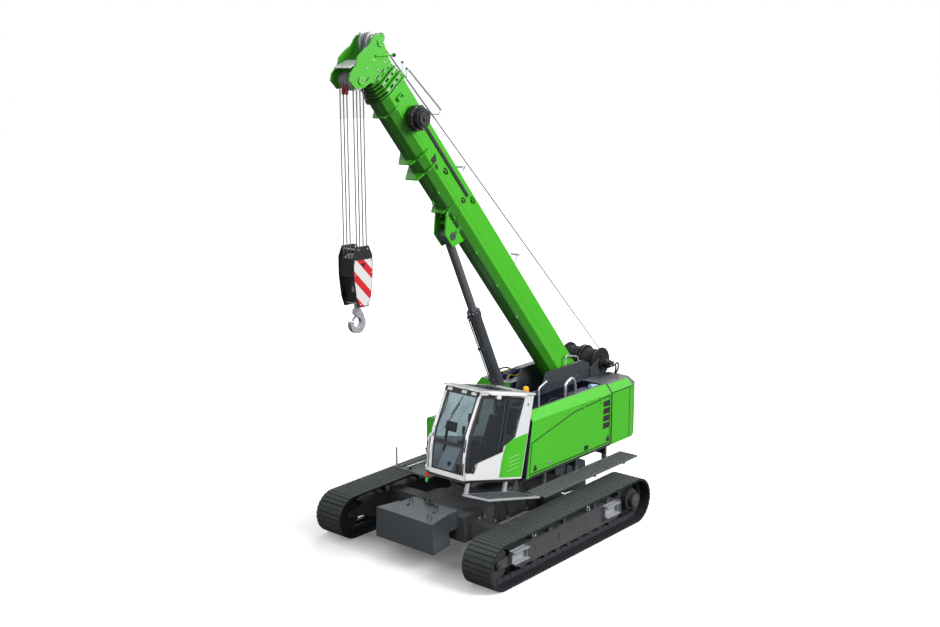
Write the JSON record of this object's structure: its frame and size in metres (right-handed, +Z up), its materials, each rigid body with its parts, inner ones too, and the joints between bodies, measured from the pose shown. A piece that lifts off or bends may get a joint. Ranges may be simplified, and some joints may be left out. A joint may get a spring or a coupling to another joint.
{
  "type": "telescopic crawler crane",
  "caption": "Crawler crane with a telescopic boom raised by one luffing cylinder, a tilting cab, two winches, sliding crawlers and a hook block.",
  "frame": {"origin": "on the ground under the middle of the overall box, about 0.09 m ahead of the slewing axis", "axes": "+X to the front of the machine, +Y to its left, +Z up"},
  "size_m": [7.9799, 4.717, 10.2348],
  "materials": {
    "green_paint": "gloss paint",
    "grey_paint": "dark slate paint",
    "track_steel": "worn dark steel",
    "pale_steps": "pale grey, satin",
    "white_paint": "gloss white",
    "glass": "tinted",
    "black_paint": "satin black",
    "bright_steel": "turned",
    "hook_steel": "forged",
    "rope_steel": "wire rope",
    "tube_grey": "pale grey",
    "amber_lens": "clear amber",
    "seat_fabric": "woven"
  },
  "bodies": {
    "undercarriage": {"car_body": "grey_paint", "slewing_ring": "track_steel", "front_ballast": "grey_paint", "rear_ballast": "grey_paint"},
    "left_crawler": {"left_track_frame": "grey_paint", "left_track": "track_steel", "left_wheels": "track_steel", "left_steps": "pale_steps"},
    "right_crawler": {"right_track_frame": "grey_paint", "right_track": "track_steel", "right_wheels": "track_steel", "right_steps": "pale_steps"},
    "superstructure": {"main_frame": "grey_paint", "left_hood": "green_paint", "right_hood": "green_paint", "fuel_tank": "green_paint", "engine": "black_paint", "oil_tank": "black_paint", "counterweight": "green_paint", "left_walkway": "grey_paint", "right_walkway": "grey_paint", "deck_rails": "tube_grey", "beacon": "amber_lens", "winch_drives": "black_paint"},
    "left_hood_door": {"left_hood_door": "green_paint"},
    "right_hood_door": {"right_hood_door": "green_paint"},
    "main_winch": {"main_winch": "black_paint"},
    "aux_winch": {"aux_winch": "black_paint"},
    "cab": {"cab_frame": "white_paint", "cab_rear_panel": "green_paint", "cab_glazing": "glass", "cab_step": "pale_steps", "operator_seat": "seat_fabric", "console": "black_paint"},
    "cab_door": {"cab_door": "white_paint", "door_glass": "glass"},
    "boom": {"boom_base": "green_paint", "cable_reel": "black_paint", "rope_guides": "tube_grey"},
    "telescope_1": {"tele_section_1": "green_paint"},
    "telescope_2": {"tele_section_2": "green_paint"},
    "telescope_3": {"tele_section_3": "green_paint"},
    "upper_sheaves": {"upper_sheaves": "bright_steel"},
    "lower_sheaves": {"lower_sheaves": "bright_steel"},
    "luff_rod": {"luff_rod": "bright_steel"},
    "luff_barrel": {"luff_barrel": "grey_paint"},
    "hook_block": {"hoist_falls": "rope_steel", "hook_block": "black_paint"},
    "block_sheaves": {"block_sheaves": "bright_steel"},
    "hook": {"hook": "hook_steel"}
  },
  "joints": [
    {"name": "slew", "type": "hinge", "parent": "undercarriage", "child": "superstructure", "pos_m": [0.01001, 0, 1.11], "axis": [0, 0, 1], "continuous": true},
    {"name": "left_crawler_slide", "type": "slide", "parent": "undercarriage", "child": "left_crawler", "axis": [0, 1, 0], "range_m": [-0.858, 0]},
    {"name": "right_crawler_slide", "type": "slide", "parent": "undercarriage", "child": "right_crawler", "axis": [0, -1, 0], "range_m": [-0.858, 0]},
    {"name": "boom_luff", "type": "hinge", "parent": "superstructure", "child": "boom", "pos_m": [-2.68999, 0, 2.7], "axis": [0, -1, 0], "range_deg": [-49.3, 33.7]},
    {"name": "telescope_1", "type": "slide", "parent": "boom", "child": "telescope_1", "axis": [0.6521, 0, 0.7581], "range_m": [0, 6.7]},
    {"name": "telescope_2", "type": "slide", "parent": "telescope_1", "child": "telescope_2", "axis": [0.6521, 0, 0.7581], "range_m": [0, 6.7]},
    {"name": "telescope_3", "type": "slide", "parent": "telescope_2", "child": "telescope_3", "axis": [0.6521, 0, 0.7581], "range_m": [0, 6.7]},
    {"name": "luff_rod_turn", "type": "hinge", "parent": "boom", "child": "luff_rod", "pos_m": [1.22329, 0, 6.39084], "axis": [0, -1, 0], "range_deg": [-10, 10]},
    {"name": "luff_barrel_slide", "type": "slide", "parent": "luff_rod", "child": "luff_barrel", "axis": [-0.4329, 0, -0.9014], "range_m": [-1.7, 1.3]},
    {"name": "upper_sheaves_turn", "type": "hinge", "parent": "telescope_3", "child": "upper_sheaves", "pos_m": [3.2223, 0, 10.03986], "axis": [0, 1, 0], "continuous": true},
    {"name": "lower_sheaves_turn", "type": "hinge", "parent": "telescope_3", "child": "lower_sheaves", "pos_m": [3.70688, 0, 9.38563], "axis": [0, 1, 0], "continuous": true},
    {"name": "falls_swing", "type": "hinge", "parent": "telescope_3", "child": "hook_block", "pos_m": [3.70688, 0, 9.38563], "axis": [0, -1, 0], "range_deg": [-35, 50]},
    {"name": "block_sheaves_turn", "type": "hinge", "parent": "hook_block", "child": "block_sheaves", "pos_m": [3.70688, 0, 6.15], "axis": [0, 1, 0], "continuous": true},
    {"name": "hook_swivel", "type": "hinge", "parent": "hook_block", "child": "hook", "pos_m": [3.70688, 0, 5.56], "axis": [0, 0, 1], "continuous": true},
    {"name": "main_winch_turn", "type": "hinge", "parent": "superstructure", "child": "main_winch", "pos_m": [-3.63999, 0, 2.96], "axis": [0, 1, 0], "continuous": true},
    {"name": "aux_winch_turn", "type": "hinge", "parent": "superstructure", "child": "aux_winch", "pos_m": [-3.63999, 0, 2.96], "axis": [0, 1, 0], "continuous": true},
    {"name": "cab_tilt", "type": "hinge", "parent": "superstructure", "child": "cab", "pos_m": [0.67722, 0, 1.52306], "axis": [0, -1, 0], "range_deg": [-13.5, 0]},
    {"name": "cab_door_slide", "type": "slide", "parent": "cab", "child": "cab_door", "axis": [-0.9724, 0, -0.2334], "range_m": [0, 0.75]},
    {"name": "left_hood_door_lift", "type": "hinge", "parent": "superstructure", "child": "left_hood_door", "pos_m": [-1.81499, 1.444, 2.65], "axis": [1, 0, 0], "range_deg": [0, 80]},
    {"name": "right_hood_door_swing", "type": "hinge", "parent": "superstructure", "child": "right_hood_door", "pos_m": [-2.45699, -1.444, 2.1], "axis": [0, 0, -1], "range_deg": [0, 100]}
  ],
  "couplings": [
    {"joint": "telescope_2", "follows": "telescope_1", "ratio": 1},
    {"joint": "telescope_3", "follows": "telescope_1", "ratio": 1},
    {"joint": "luff_rod_turn", "follows": "boom_luff", "ratio": 0.13},
    {"joint": "luff_barrel_slide", "follows": "boom_luff", "m_per_rad": 1.7576},
    {"joint": "falls_swing", "follows": "boom_luff", "ratio": -1}
  ]
}
